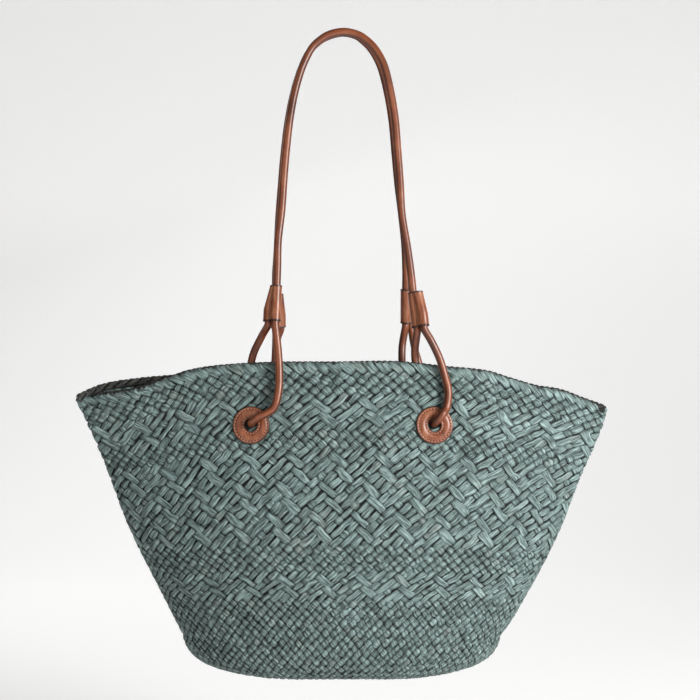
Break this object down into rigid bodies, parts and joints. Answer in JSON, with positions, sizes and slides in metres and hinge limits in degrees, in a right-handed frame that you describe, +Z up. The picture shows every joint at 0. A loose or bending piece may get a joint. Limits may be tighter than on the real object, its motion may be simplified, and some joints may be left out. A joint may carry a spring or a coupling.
{
  "type": "straw basket bag",
  "caption": "Woven straw tote with a wide pinched mouth and two long rolled leather handles threaded through stitched leather eyelets.",
  "frame": {"origin": "where the hook bears, under the tops of both handles", "axes": "+Z up, -Y to the front, +X to the right as seen from the front"},
  "size_m": [0.551, 0.1518, 0.6606],
  "materials": {
    "straw": "matt woven palm strands, dyed grey green",
    "dark_straw": "matt plaited strands in the mouth's shade",
    "leather": "smooth oiled tan leather, half gloss"
  },
  "bodies": {
    "root": {"basket": "straw", "rim_braid": "dark_straw", "eyelet_front_left": "leather", "eyelet_front_right": "leather", "eyelet_back_left": "leather", "eyelet_back_right": "leather", "keeper_front_left": "leather", "keeper_front_right": "leather", "keeper_back_left": "leather", "keeper_back_right": "leather", "handle_front": "leather", "handle_back": "leather"}
  },
  "joints": []
}
